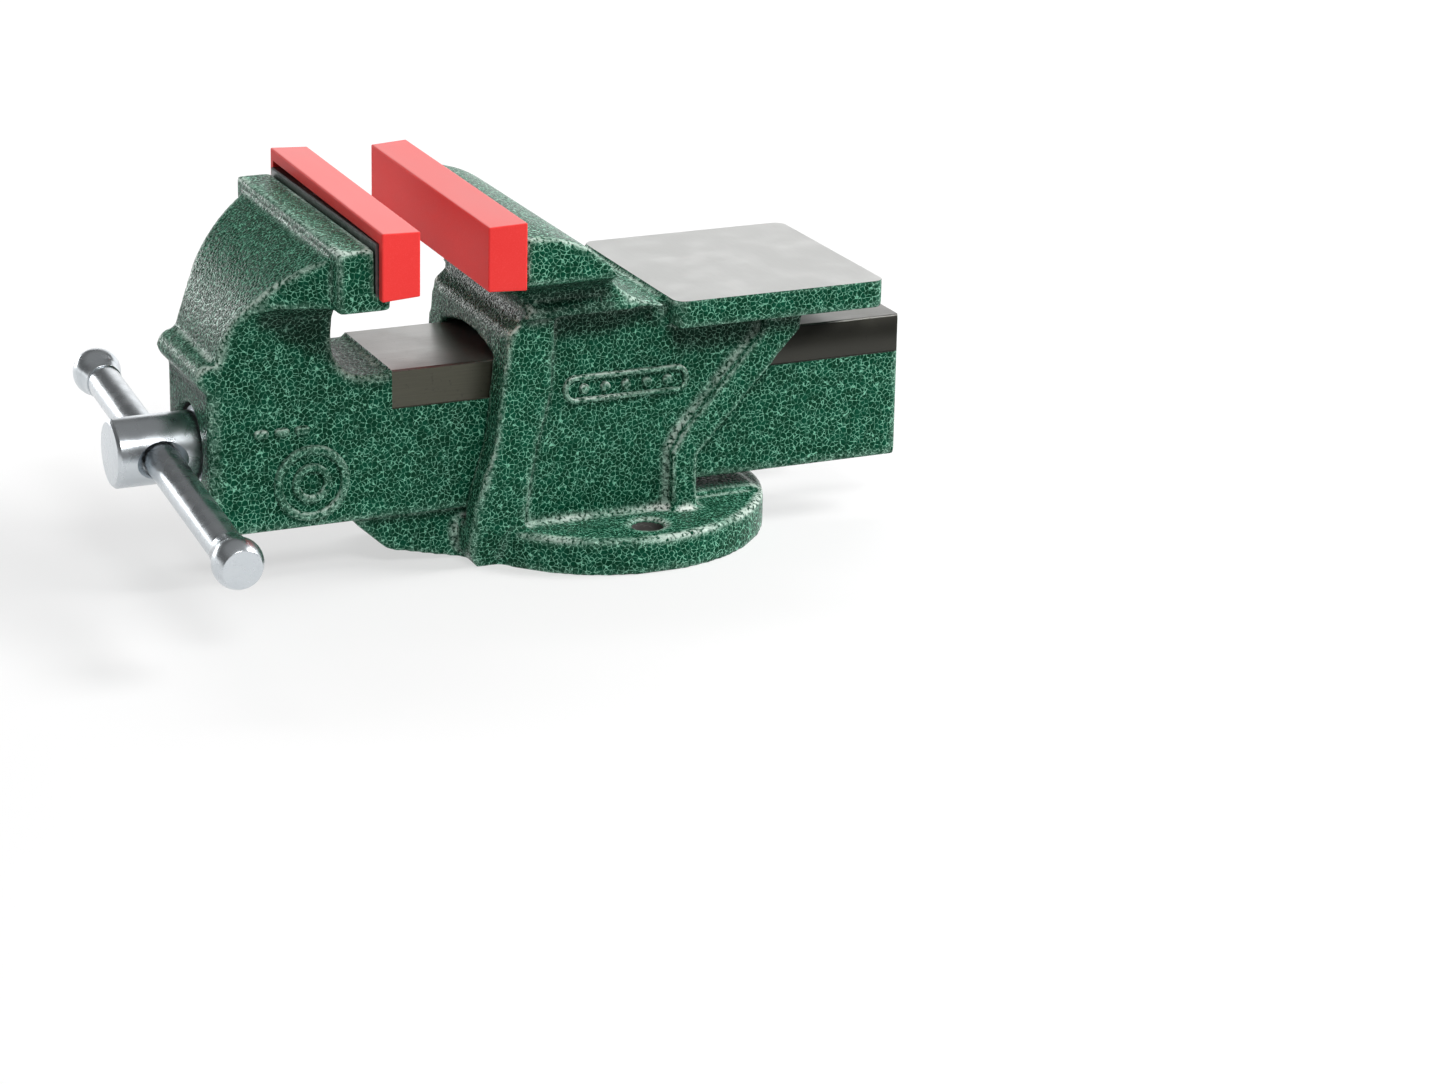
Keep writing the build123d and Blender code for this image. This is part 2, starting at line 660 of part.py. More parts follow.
with BuildPart() as nut_bolts:
    for x in (-NUT_BOLT_X, NUT_BOLT_X):
        with BuildSketch(Plane.XY.offset(BOLT_RECESS_Z - BOLT_WASHER_T - BOLT_HEAD_H)):
            with Locations((x, 0)):
                RegularPolygon(BOLT_HEAD_FLATS / 2, 6, major_radius=False)
        extrude(amount=BOLT_HEAD_H)
        with BuildSketch(Plane.XY.offset(BOLT_RECESS_Z - BOLT_WASHER_T)):
            with Locations((x, 0)):
                Circle(NUT_BOLT_R - BOLT_GAP)
        extrude(amount=NUT_BOLT_TOP_Z - BOLT_RECESS_Z + BOLT_WASHER_T)
finish_part(nut_bolts.part, "nut_bolts")

with BuildPart() as nut_bolt_washers:
    with BuildSketch(Plane.XY.offset(BOLT_RECESS_Z - BOLT_WASHER_T)):
        with Locations((-NUT_BOLT_X, 0), (NUT_BOLT_X, 0)):
            Circle(BOLT_WASHER_R)
            Circle(NUT_BOLT_R + BOLT_WASHER_GAP, mode=Mode.SUBTRACT)
    extrude(amount=BOLT_WASHER_T)
finish_part(nut_bolt_washers.part, "nut_bolt_washers")


# ---- tommy bar with a pressed-on knob at each end -----------------------------------------
bar_origin = (CROSS_HOLE_X, 0, AXIS_Z)
bar_axis = Axis(bar_origin, bar_direction)
bar_plane = Plane(origin=bar_origin, x_dir=bar_direction, z_dir=(1, 0, 0))
NEAR_BALL = BAR_NEAR + KNOB_FLAT
FAR_BALL = BAR_FAR - KNOB_FLAT

with BuildPart() as handle_bar:
    with BuildSketch(bar_plane):
        Polygon(
            (BAR_NEAR + SPIGOT_END, 0),
            (BAR_NEAR + SPIGOT_END, SPIGOT_R),
            (NEAR_BALL + KNOB_COLLAR, SPIGOT_R),
            (NEAR_BALL + KNOB_COLLAR, BAR_R),
            (FAR_BALL - KNOB_COLLAR, BAR_R),
            (FAR_BALL - KNOB_COLLAR, SPIGOT_R),
            (BAR_FAR - SPIGOT_END, SPIGOT_R),
            (BAR_FAR - SPIGOT_END, 0),
            align=None,
        )
    revolve(axis=bar_axis)
finish_part(handle_bar.part, "handle_bar")


def make_knob(ball_at, outward, name):
    """A ball with a flat end and a short tapered collar; outward is its sense along the bar."""
    flat_r = math.sqrt(KNOB_R**2 - KNOB_FLAT**2)
    shoulder_r = math.sqrt(KNOB_R**2 - KNOB_SHOULDER**2)
    with BuildPart() as knob:
        with BuildSketch(bar_plane):
            with BuildLine():
                collar = Polyline(
                    (ball_at + outward * KNOB_FLAT, 0),
                    (ball_at - outward * KNOB_COLLAR, 0),
                    (ball_at - outward * KNOB_COLLAR, BAR_R + 0.1),
                    (ball_at - outward * KNOB_SHOULDER, shoulder_r),
                )
                ball = ThreePointArc(collar @ 1, (ball_at, KNOB_R), (ball_at + outward * KNOB_FLAT, flat_r))
                Line(ball @ 1, collar @ 0)
            make_face()
        revolve(axis=bar_axis)
        bore_mouth = Plane(origin=bar_origin, z_dir=bar_direction).offset(ball_at - outward * KNOB_COLLAR)
        with BuildSketch(bore_mouth):
            Circle(SPIGOT_R)
        extrude(amount=outward * (KNOB_COLLAR + KNOB_FLAT - SPIGOT_END), mode=Mode.SUBTRACT)
    finish_part(knob.part, name)


make_knob(NEAR_BALL, -1, "handle_knob_near")
make_knob(FAR_BALL, 1, "handle_knob_far")
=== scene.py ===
import json
import math
import bmesh
import bpy
import numpy as np
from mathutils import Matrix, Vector
from mathutils.bvhtree import BVHTree


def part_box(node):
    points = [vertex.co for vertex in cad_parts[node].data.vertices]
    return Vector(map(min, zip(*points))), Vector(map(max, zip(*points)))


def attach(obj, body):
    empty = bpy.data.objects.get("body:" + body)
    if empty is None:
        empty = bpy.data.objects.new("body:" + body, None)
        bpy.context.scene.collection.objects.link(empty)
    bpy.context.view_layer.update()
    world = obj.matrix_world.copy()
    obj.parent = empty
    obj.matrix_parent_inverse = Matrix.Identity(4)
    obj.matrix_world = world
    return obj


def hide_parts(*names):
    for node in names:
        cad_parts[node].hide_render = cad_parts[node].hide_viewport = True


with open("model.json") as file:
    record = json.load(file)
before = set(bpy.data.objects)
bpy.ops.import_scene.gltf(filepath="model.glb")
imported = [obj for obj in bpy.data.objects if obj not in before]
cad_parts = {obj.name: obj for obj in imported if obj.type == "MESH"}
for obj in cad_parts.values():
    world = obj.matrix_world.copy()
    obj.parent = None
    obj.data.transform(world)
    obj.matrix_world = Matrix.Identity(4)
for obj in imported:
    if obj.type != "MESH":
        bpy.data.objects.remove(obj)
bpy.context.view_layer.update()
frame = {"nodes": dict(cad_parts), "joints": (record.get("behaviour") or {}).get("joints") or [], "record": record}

# A bench vise: two castings in hammered green paint, machined where they slide and where work
# is struck, bright zinc on the lead screw and its tommy bar, and red pads on the jaws.
# Lengths are metres, so a size in millimetres is written with MM.
MM = 0.001
MOUNTS = {mount["name"]: mount for mount in frame["record"]["mounts"]}
JOINTS = {joint["name"]: joint for joint in frame["joints"]}

# the screw's axis runs through the cross hole, and the bar slides along its own axis there
SCREW_ORIGIN = Vector(JOINTS["screw_turn"]["pos_m"])
SCREW_FOOT = Vector((0, 0, SCREW_ORIGIN.z))
SCREW_DIRECTION = Vector((1, 0, 0))
BAR_DIRECTION = Vector(JOINTS["handle_slide"]["axis"]).normalized()


def new_object(name, data):
    """An object with this data, linked to the scene."""
    thing = bpy.data.objects.new(name, data)
    bpy.context.scene.collection.objects.link(thing)
    return thing


def rgb(red, green, blue):
    return (red, green, blue, 1.0)


# ---- camera ----------------------------------------------------------------------------
CAMERA_AZIMUTH = math.radians(21.03)
CAMERA_ELEVATION = math.radians(17.01)
CAMERA_TARGET = Vector((-36.9, 0.5, 55.5)) * MM
CAMERA_DISTANCE = 1181.0 * MM
CAMERA_LENS = 93.72
CAMERA_SENSOR = 36.0
CAMERA_SHIFT = (0.1611, -0.1218)


def aim(thing, direction):
    """Turns a camera or a lamp so that it looks along direction."""
    thing.rotation_mode = "QUATERNION"
    thing.rotation_quaternion = direction.to_track_quat("-Z", "Y")


def make_camera():
    looks = Vector(
        (
            math.sin(CAMERA_AZIMUTH) * math.cos(CAMERA_ELEVATION),
            math.cos(CAMERA_AZIMUTH) * math.cos(CAMERA_ELEVATION),
            -math.sin(CAMERA_ELEVATION),
        )
    )
    data = bpy.data.cameras.new("camera")
    data.lens = CAMERA_LENS
    data.sensor_width = CAMERA_SENSOR
    data.shift_x, data.shift_y = CAMERA_SHIFT
    camera = new_object("camera", data)
    camera.location = CAMERA_TARGET - looks * CAMERA_DISTANCE
    aim(camera, looks)
    bpy.context.scene.camera = camera


# ---- material nodes --------------------------------------------------------------------
MIX_FIRST, MIX_SECOND, MIX_RESULT = 6, 7, 2


class Tree:
    """Short ways to add nodes to a node tree."""

    def __init__(self, node_tree):
        self.nodes = node_tree.nodes
        self.links = node_tree.links

    def put(self, socket, value):
        """Links an output to the socket, or sets the socket's plain value."""
        if isinstance(value, bpy.types.NodeSocket):
            self.links.new(value, socket)
        else:
            socket.default_value = value

    def feed(self, node, **inputs):
        """Puts each value in the input of that name, with _ for a space."""
        for name, value in inputs.items():
            self.put(node.inputs[name.replace("_", " ")], value)
        return node

    def add(self, kind, **inputs):
        return self.feed(self.nodes.new(kind), **inputs)

    def operate(self, kind, operation, values):
        node = self.add(kind)
        node.operation = operation
        for index, value in enumerate(values):
            self.put(node.inputs[index], value)
        return node.outputs[0]

    def maths(self, operation, first, second):
        return self.operate("ShaderNodeMath", operation, (first, second))

    def plus(self, first, second):
        return self.maths("ADD", first, second)

    def times(self, first, second):
        return self.maths("MULTIPLY", first, second)

    def larger(self, first, second):
        return self.maths("MAXIMUM", first, second)

    def vectors(self, operation, *values):
        return self.operate("ShaderNodeVectorMath", operation, values)

    def remap(self, value, from_low, from_high, to_low=0.0, to_high=1.0):
        """Takes one range to another, with soft ends."""
        node = self.add("ShaderNodeMapRange")
        node.interpolation_type = "SMOOTHSTEP"
        for index, number in enumerate((value, from_low, from_high, to_low, to_high)):
            self.put(node.inputs[index], number)
        return node.outputs[0]

    def ramp(self, value, start, end):
        """0 at start and 1 at end, whichever of them is the larger."""
        if start < end:
            return self.remap(value, start, end)
        return self.remap(value, end, start, 1.0, 0.0)

    def noise(self, place, size, detail=2.0, roughness=0.5, output=0):
        """Noise with lumps of about this size."""
        kind, scale = "ShaderNodeTexNoise", 1.0 / size
        node = self.add(kind, Vector=place, Scale=scale, Detail=detail, Roughness=roughness)
        return node.outputs[output]

    def mix(self, factor, first, second):
        node = self.add("ShaderNodeMix")
        node.data_type = "RGBA"
        self.put(node.inputs["Factor"], factor)
        self.put(node.inputs[MIX_FIRST], first)
        self.put(node.inputs[MIX_SECOND], second)
        return node.outputs[MIX_RESULT]

    def stretched(self, place, scale):
        return self.add("ShaderNodeMapping", Vector=place, Scale=scale).outputs[0]

    def attribute(self, name):
        node = self.add("ShaderNodeAttribute")
        node.attribute_name = name
        return node.outputs["Fac"]

    def bump(self, height, distance, strength):
        node = self.add("ShaderNodeBump", Height=height, Distance=distance, Strength=strength)
        return node.outputs[0]

    def axes(self, vector):
        return self.add("ShaderNodeSeparateXYZ", Vector=vector).outputs

    def facing_up(self):
        """1 where the surface faces up, 0 where it is upright and -1 where it faces down."""
        return self.axes(self.add("ShaderNodeNewGeometry").outputs["Normal"])["Z"]


def new_material(name):
    """A material with its node tree, its Principled shader and the piece's own coordinates."""
    material = bpy.data.materials.new(name)
    material.use_nodes = True
    tree = Tree(material.node_tree)
    place = tree.add("ShaderNodeTexCoord").outputs["Object"]
    return material, tree, tree.nodes["Principled BSDF"], place


# ---- studio ----------------------------------------------------------------------------
FLOOR_HALF = 6.0
FLOOR_CLOUD = 1.0 / 3.0

# where the world is bright, as (direction at which it starts, direction at which it is full)
BEHIND_BAND = (-0.3, 0.25)
LOW_BAND = (0.2, 0.11)
BESIDE_BAND = (0.0, 0.25)
TALL_BAND = (0.42, 0.33)
OVERHEAD_BAND = (0.5, 0.85)
BACKDROP_STRENGTH = 1.25
OVERHEAD_STRENGTH = 0.15
ROOM_STRENGTH = 0.15

# name, place, target, size and power
LIGHTS = (
    ("key", (1.85, -0.55, 1.7), (-0.02, 0, 0.05), (1.1, 0.9), 74),
    ("front", (-0.1, -1.7, 1.6), (-0.02, 0, 0.05), (0.7, 0.5), 24),
    ("side_panel", (-0.8, 1.7, 0.2), (-0.08, 0, 0.07), (0.9, 0.3), 5),
    ("backdrop_wash", (0.6, 2.2, 2.4), (1.2, 3.4, 0.0), (3.0, 1.5), 160),
)
NOT_MIRRORED = ("backdrop_wash",)


def make_lights():
    for name, place, target, size, power in LIGHTS:
        data = bpy.data.lights.new(name, "AREA")
        data.shape = "RECTANGLE"
        data.size, data.size_y = size
        data.energy = power
        light = new_object(name, data)
        light.location = place
        light.visible_camera = False
        light.visible_glossy = name not in NOT_MIRRORED
        aim(light, Vector(target) - Vector(place))


def make_world():
    """A white backdrop low down behind the vise, taller beside the anvil, and a dim room around."""
    world = bpy.data.worlds.new("studio")
    bpy.context.scene.world = world
    world.use_nodes = True
    tree = Tree(world.node_tree)
    direction = tree.axes(tree.add("ShaderNodeTexCoord").outputs["Generated"])
    behind = tree.ramp(direction["Y"], *BEHIND_BAND)
    low = tree.ramp(direction["Z"], *LOW_BAND)
    beside = tree.ramp(direction["X"], *BESIDE_BAND)
    tall = tree.times(beside, tree.ramp(direction["Z"], *TALL_BAND))
    backdrop = tree.times(tree.times(behind, tree.larger(low, tall)), BACKDROP_STRENGTH)
    overhead = tree.times(tree.ramp(direction["Z"], *OVERHEAD_BAND), OVERHEAD_STRENGTH)
    strength = tree.plus(tree.plus(backdrop, overhead), ROOM_STRENGTH)
    tree.feed(tree.nodes["Background"], Color=rgb(1, 1, 1), Strength=strength)


def make_floor_material():
    material, tree, shader, place = new_material("floor_white")
    cloud = tree.noise(place, FLOOR_CLOUD)
    tree.feed(
        shader,
        Base_Color=tree.mix(cloud, rgb(0.26, 0.26, 0.26), rgb(0.3, 0.3, 0.3)),
        Roughness=0.7,
        Emission_Color=rgb(1, 1, 1),
        Emission_Strength=0.58,
    )
    return material


def make_floor():
    corners = [(-1, -1), (1, -1), (1, 1), (-1, 1)]
    mesh = bpy.data.meshes.new("floor")
    mesh.from_pydata([(x * FLOOR_HALF, y * FLOOR_HALF, 0) for x, y in corners], [], [(0, 1, 2, 3)])
    floor = new_object("floor", mesh)
    floor.data.materials.append(make_floor_material())


# ---- paint -----------------------------------------------------------------------------
NOISE_COLOUR = 1
CELL_SIZE = 1.45 * MM
WOBBLE_SIZE = 1.7 * MM
WOBBLE_SHIFT = 1.1 * MM
PATCH_SIZE = 4.0 * MM
CLOUD_SIZE = 28 * MM
BREAK_SIZE = 1.1 * MM
GRAIN_SIZE = 0.6 * MM


def hammered_cells(tree, place):
    """The distance to the edge of the nearest hammered cell; noise bends the edges."""
    wobble = tree.noise(place, WOBBLE_SIZE, output=NOISE_COLOUR)
    centred = tree.vectors("SUBTRACT", wobble, (0.5, 0.5, 0.5))
    moved = tree.vectors("MULTIPLY_ADD", centred, (WOBBLE_SHIFT,) * 3, place)
    cells = tree.add("ShaderNodeTexVoronoi", Vector=moved, Scale=1.0 / CELL_SIZE)
    cells.feature = "DISTANCE_TO_EDGE"
    return cells.outputs["Distance"]


def make_hammertone():
    """Green hammered paint: dark cells in a pale broken net, pale on crests and in hollows, partly as wear
    and partly as a painted highlight where they face up, with painted shade in hollows that don't face up and a
    painted shadow where the casting shelters it."""
    material, tree, shader, place = new_material("green_hammertone")
    edge = hammered_cells(tree, place)
    patches = tree.noise(place, PATCH_SIZE, 3.0)
    cloud = tree.noise(place, CLOUD_SIZE)
    breaks = tree.noise(place, BREAK_SIZE, 1.0)
    grain = tree.noise(place, GRAIN_SIZE)
    crest, hollow, painted_overhang_shadow = [tree.attribute(name) for name in ("crest", "hollow", "painted_overhang_shadow")]
    up = tree.remap(tree.facing_up(), -0.2, 0.6)

    net_width = tree.plus(0.056, tree.times(patches, 0.054))
    net = tree.remap(tree.maths("DIVIDE", edge, net_width), 0.1, 0.95, 1.0, 0.0)
    net = tree.times(net, tree.remap(breaks, 0.36, 0.6, 0.2, 1.0))
    # pale crests and hollows: partly real wear, partly a painted highlight along edges that catch the light
    wear_and_highlight = tree.larger(tree.times(crest, 0.75), hollow)
    wear_and_highlight = tree.times(wear_and_highlight, tree.remap(cloud, 0.35, 0.65, 0.4, 1.0))
    # painted highlight: paler where the surface faces up, as the light falls from above
    wear_and_highlight = tree.times(wear_and_highlight, tree.plus(0.35, tree.times(up, 0.65)))
    rubbed_wear_and_highlight = tree.times(wear_and_highlight, tree.remap(breaks, 0.34, 0.55))

    dark = tree.mix(cloud, rgb(0.0004, 0.028, 0.012), rgb(0.0007, 0.039, 0.018))
    dark = tree.mix(tree.remap(patches, 0.38, 0.68), dark, rgb(0.0015, 0.055, 0.028))
    # painted shade in hollows that don't face up and painted shadow under overhangs, taken towards near black
    painted_shade = tree.larger(tree.times(hollow, tree.maths("SUBTRACT", 1.0, up)), painted_overhang_shadow)
    dark = tree.mix(tree.times(painted_shade, 0.7), dark, rgb(0.001, 0.006, 0.004))
    # the pale net is also painted darker under overhangs, as painted shadow
    pale = tree.mix(tree.times(painted_overhang_shadow, 0.7), rgb(0.19, 0.5, 0.345), rgb(0.05, 0.075, 0.06))
    pale = tree.mix(wear_and_highlight, pale, rgb(0.72, 0.77, 0.72))

    height = tree.plus(tree.remap(edge, 0.0, 0.42), tree.times(grain, 0.35))
    tree.feed(
        shader,
        Base_Color=tree.mix(tree.larger(net, rubbed_wear_and_highlight), dark, pale),
        Normal=tree.bump(height, 0.1 * MM, 1.0),
        Roughness=tree.remap(patches, 0.2, 0.8, 0.2, 0.3),
        Specular_IOR_Level=tree.plus(0.04, tree.times(net, 0.2)),
    )
    return material


# ---- metals and plastic ----------------------------------------------------------------
def make_ground_steel():
    """Machined iron: fine cutter lines across the vise, faint blotches and small scratches."""
    material, tree, shader, place = new_material("ground_steel")
    lines = tree.noise(tree.stretched(place, (1.0, 0.05, 0.6)), 0.5 * MM, 3.0)
    wide_lines = tree.noise(tree.stretched(place, (1.0, 0.06, 1.0)), 5 * MM)
    blotch = tree.noise(place, 14 * MM, 4.0, 0.6)
    scratch = tree.noise(tree.stretched(place, (0.08, 1.0, 1.0)), 0.9 * MM, 1.0)
    scratch = tree.remap(scratch, 0.68, 0.74)
    base = tree.mix(blotch, rgb(0.8, 0.805, 0.79), rgb(0.86, 0.865, 0.85))
    base = tree.mix(tree.times(lines, 0.3), base, rgb(0.66, 0.66, 0.64))
    base = tree.mix(tree.times(scratch, 0.25), base, rgb(0.8, 0.8, 0.8))
    height = tree.plus(lines, tree.times(wide_lines, 0.6))
    tree.feed(
        shader,
        Base_Color=base,
        Roughness=tree.remap(blotch, 0.25, 0.75, 0.36, 0.5),
        Normal=tree.bump(height, 0.015 * MM, 0.4),
        Metallic=1.0,
    )
    return material


def make_slide_steel():
    """The slide's ground ways: painted lighter on top as a painted reflection, painted darker towards the rear as
    painted shadow, with an oily brown film over the grinding lines.
    """
    material, tree, shader, place = new_material("slide_steel")
    lines = tree.noise(tree.stretched(place, (0.035, 1.0, 1.0)), 0.6 * MM, 3.0)
    film = tree.noise(place, 22 * MM, 4.0, 0.62)
    specks = tree.noise(place, 1.2 * MM, 3.0)
    # painted shadow: darker towards the rear, where the slide runs in under the body
    painted_rear_shadow = tree.remap(tree.axes(place)["X"], -10 * MM, 50 * MM, 0.0, 0.8)
    base = tree.mix(film, rgb(0.055, 0.055, 0.034), rgb(0.09, 0.088, 0.062))
    base = tree.mix(painted_rear_shadow, base, rgb(0.012, 0.012, 0.01))
    # painted reflection: much lighter where the ways face up
    base = tree.mix(tree.remap(tree.facing_up(), 0.5, 0.9), base, rgb(0.34, 0.338, 0.315))
    base = tree.mix(tree.times(lines, 0.5), base, rgb(0.02, 0.019, 0.012))
    base = tree.mix(tree.remap(specks, 0.62, 0.75, 0.0, 0.4), base, rgb(0.01, 0.009, 0.007))
    tree.feed(
        shader,
        Base_Color=base,
        Roughness=tree.remap(film, 0.3, 0.7, 0.34, 0.5),
        Normal=tree.bump(lines, 0.02 * MM, 0.5),
        Metallic=1.0,
        Coat_Weight=0.7,
        Coat_Roughness=0.34,
        Coat_IOR=1.5,
    )
    return material


def make_bare_iron():
    """Bored and drilled iron: tool rings and a brown stain."""
    material, tree, shader, place = new_material("bare_iron")
    rings = tree.noise(tree.stretched(place, (0.3, 1.0, 1.0)), 0.7 * MM, 3.0)
    stain = tree.noise(place, 6 * MM, 4.0)
    base = tree.mix(stain, rgb(0.09, 0.088, 0.085), rgb(0.2, 0.195, 0.185))
    tree.feed(
        shader,
        Base_Color=tree.mix(tree.remap(rings, 0.55, 0.8), base, rgb(0.3, 0.29, 0.27)),
        Roughness=tree.remap(stain, 0.3, 0.7, 0.4, 0.62),
        Normal=tree.bump(rings, 0.05 * MM, 0.6),
        Metallic=0.7,
    )
    return material


def make_zinc(name, smooth, rough):
    """Bright zinc plate with a faint mottle and hair scratches."""
    material, tree, shader, place = new_material(name)
    mottle = tree.noise(place, 6 * MM, 1.0)
    hair = tree.noise(tree.stretched(place, (1.0, 0.03, 1.0)), 1.4 * MM, 1.0)
    base = tree.mix(mottle, rgb(0.54, 0.58, 0.61), rgb(0.62, 0.655, 0.68))
    tree.feed(
        shader,
        Base_Color=tree.mix(tree.remap(hair, 0.6, 0.8, 0.0, 0.2), base, rgb(0.4, 0.43, 0.45)),
        Roughness=tree.remap(mottle, 0.25, 0.75, smooth, rough),
        Normal=tree.bump(tree.plus(mottle, tree.times(hair, 0.5)), 0.004 * MM, 0.3),
        Metallic=1.0,
    )
    return material


def make_dark_steel(name, low, high, smooth, rough):
    """Blackened or oiled steel, rubbed brighter in places."""
    material, tree, shader, place = new_material(name)
    rub = tree.noise(place, 2.2 * MM, 4.0)
    tree.feed(
        shader,
        Base_Color=tree.mix(tree.remap(rub, 0.3, 0.75), low, high),
        Roughness=tree.remap(rub, 0.3, 0.7, rough, smooth),
        Normal=tree.bump(rub, 0.03 * MM, 0.5),
        Metallic=0.9,
    )
    return material


def make_red_plastic():
    """Moulded red plastic with a matt skin and faint flow marks, painted paler where it faces up as a painted
    sheen.
    """
    material, tree, shader, place = new_material("red_plastic")
    flow = tree.noise(tree.stretched(place, (1.0, 0.25, 1.0)), 26 * MM, 3.0)
    grain = tree.noise(place, 0.35 * MM)
    base = tree.mix(flow, rgb(0.71, 0.036, 0.034), rgb(0.77, 0.05, 0.046))
    base = tree.mix(tree.remap(grain, 0.45, 0.8, 0.0, 0.2), base, rgb(0.9, 0.12, 0.11))
    # painted sheen: paler pink on faces that point up
    painted_top_sheen = tree.times(tree.remap(tree.facing_up(), 0.6, 0.95), tree.remap(flow, 0.3, 0.7, 0.75, 1.0))
    tree.feed(
        shader,
        Base_Color=tree.mix(painted_top_sheen, base, rgb(0.61, 0.185, 0.18)),
        Roughness=tree.remap(flow, 0.3, 0.7, 0.3, 0.38),
        Normal=tree.bump(grain, 0.02 * MM, 0.4),
        Specular_IOR_Level=0.04,
    )
    return material


# ---- meshes ----------------------------------------------------------------------------
AXIS_RADIUS = 1e-7
LONGEST_ARC = 0.45


def finish_mesh(made, name):
    mesh = bpy.data.meshes.new(name)
    made.to_mesh(mesh)
    made.free()
    return mesh


def new_piece(name, made, body, nodes, materials):
    """A piece that rides on a body, with its materials, and hides the CAD nodes that it stands for."""
    piece = new_object(name, finish_mesh(made, name))
    for material in materials:
        piece.data.materials.append(material)
    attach(piece, body)
    if nodes:
        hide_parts(*nodes)
    return piece


def apply_modifiers(piece):
    depsgraph = bpy.context.evaluated_depsgraph_get()
    mesh = bpy.data.meshes.new_from_object(piece.evaluated_get(depsgraph))
    piece.modifiers.clear()
    piece.data = mesh


def soften(piece, voxel, rounds):
    """Remeshes the piece in even cells and softens its edges."""
    remesh = piece.modifiers.new("cast", "REMESH")
    remesh.mode = "VOXEL"
    remesh.voxel_size = voxel
    smooth = piece.modifiers.new("soft", "SMOOTH")
    smooth.iterations = rounds
    apply_modifiers(piece)


def combine(piece, operation, made, materials=()):
    """Adds the mesh to the piece or cuts it away."""
    other = new_object("other", finish_mesh(made, "other"))
    for material in materials:
        other.data.materials.append(material)
    modifier = piece.modifiers.new("combine", "BOOLEAN")
    modifier.operation = operation
    modifier.solver = "EXACT"
    modifier.object = other
    apply_modifiers(piece)
    bpy.data.objects.remove(other)


def mark_sharp(mesh, degrees):
    """Smooth shading, with hard edges at steep folds and where the material changes."""
    mesh.shade_smooth()
    mesh.set_sharp_from_angle(angle=math.radians(degrees))
    made = bmesh.new()
    made.from_mesh(mesh)
    for edge in made.edges:
        if len(edge.link_faces) == 2:
            first, second = edge.link_faces
            if first.material_index != second.material_index:
                edge.smooth = False
    made.to_mesh(mesh)
    made.free()


def prism(made, outline, along, start, end, material_index):
    """Adds a closed prism: outline is a list of pairs in the two other axes' order."""
    across = [axis for axis in range(3) if axis != along]
    rings = []
    for level in (start, end):
        ring = []
        for pair in outline:
            place = [0.0, 0.0, 0.0]
            place[along] = level
            place[across[0]], place[across[1]] = pair
            ring.append(made.verts.new(place))
        rings.append(ring)
    faces = [made.faces.new(rings[0]), made.faces.new(rings[1])]
    for index in range(len(outline)):
        after = (index + 1) % len(outline)
        corners = (rings[0][index], rings[0][after], rings[1][after], rings[1][index])
        faces.append(made.faces.new(corners))
    for face in faces:
        face.material_index = material_index
    bmesh.ops.recalc_face_normals(made, faces=faces)


def lathe(made, profile, origin, direction, segments, material_index=0):
    """Adds a closed surface of revolution; profile is (distance along, radius), axis to axis."""
    turn = direction.to_track_quat("Z", "Y").to_matrix()
    rings = []
    for distance, radius in profile:
        if radius < AXIS_RADIUS:
            rings.append([made.verts.new(origin + turn @ Vector((0, 0, distance)))])
            continue
        ring = []
        for index in range(segments):
            angle = 2 * math.pi * index / segments
            spoke = Vector((radius * math.cos(angle), radius * math.sin(angle), distance))
            ring.append(made.verts.new(origin + turn @ spoke))
        rings.append(ring)
    faces = []
    for first, second in zip(rings, rings[1:]):
        for index in range(segments):
            after = (index + 1) % segments
            if len(first) == 1:
                corners = (first[0], second[index], second[after])
            elif len(second) == 1:
                corners = (first[index], second[0], first[after])
            else:
                corners = (first[index], second[index], second[after], first[after])
            faces.append(made.faces.new(corners))
    for face in faces:
        face.material_index = material_index
        face.smooth = True
    bmesh.ops.recalc_face_normals(made, faces=faces)


def rounded(profile, radius, steps=4):
    """The profile with each inner corner turned into a small arc."""
    points = [Vector(point) for point in profile]
    result = [points[0]]
    for before, corner, after in zip(points, points[1:], points[2:]):
        towards, away = before - corner, after - corner
        cut = min(radius, LONGEST_ARC * towards.length, LONGEST_ARC * away.length)
        start = corner + towards.normalized() * cut
        end = corner + away.normalized() * cut
        for step in range(steps + 1):
            t = step / steps
            result.append(start * (1 - t) ** 2 + corner * 2 * t * (1 - t) + end * t**2)
    result.append(points[-1])
    return [(point.x, point.y) for point in result]


# ---- attributes that the paint reads ---------------------------------------------------
CREST_BLUR = 3
CREST_START = 0.012
CREST_SPAN = 0.05
# painted shadow under overhangs: a ray from each point towards the light above the front, and how far it looks
SHELTER_DIRECTION = Vector((-0.25, -0.6, 0.76)).normalized()
SHELTER_REACH = 45 * MM
SHELTER_FADE = 0.7
SHELTER_BLUR = 5
FACES_UP = 0.6
RAY_LIFT = 0.8


def store_attribute(mesh, name, values):
    attribute = mesh.attributes.new(name, "FLOAT", "POINT")
    attribute.data.foreach_set("value", np.clip(values, 0, 1).astype(np.float32))


def find_shelter(mesh, place, normal, lift):
    """1 close under an overhang and less further below it, at points that don't face up; the paint darkens by it
    as a painted shadow.
    """
    surface = BVHTree.FromPolygons([v.co for v in mesh.vertices], [f.vertices for f in mesh.polygons])
    painted_overhang_shadow = np.zeros(len(place))
    for index, (start, outwards) in enumerate(zip(place + lift * normal, normal)):
        if outwards[2] < FACES_UP:
            distance = surface.ray_cast(Vector(start), SHELTER_DIRECTION, SHELTER_REACH)[3]
            if distance is not None:
                painted_overhang_shadow[index] = 1.0 - SHELTER_FADE * distance / SHELTER_REACH
    return painted_overhang_shadow


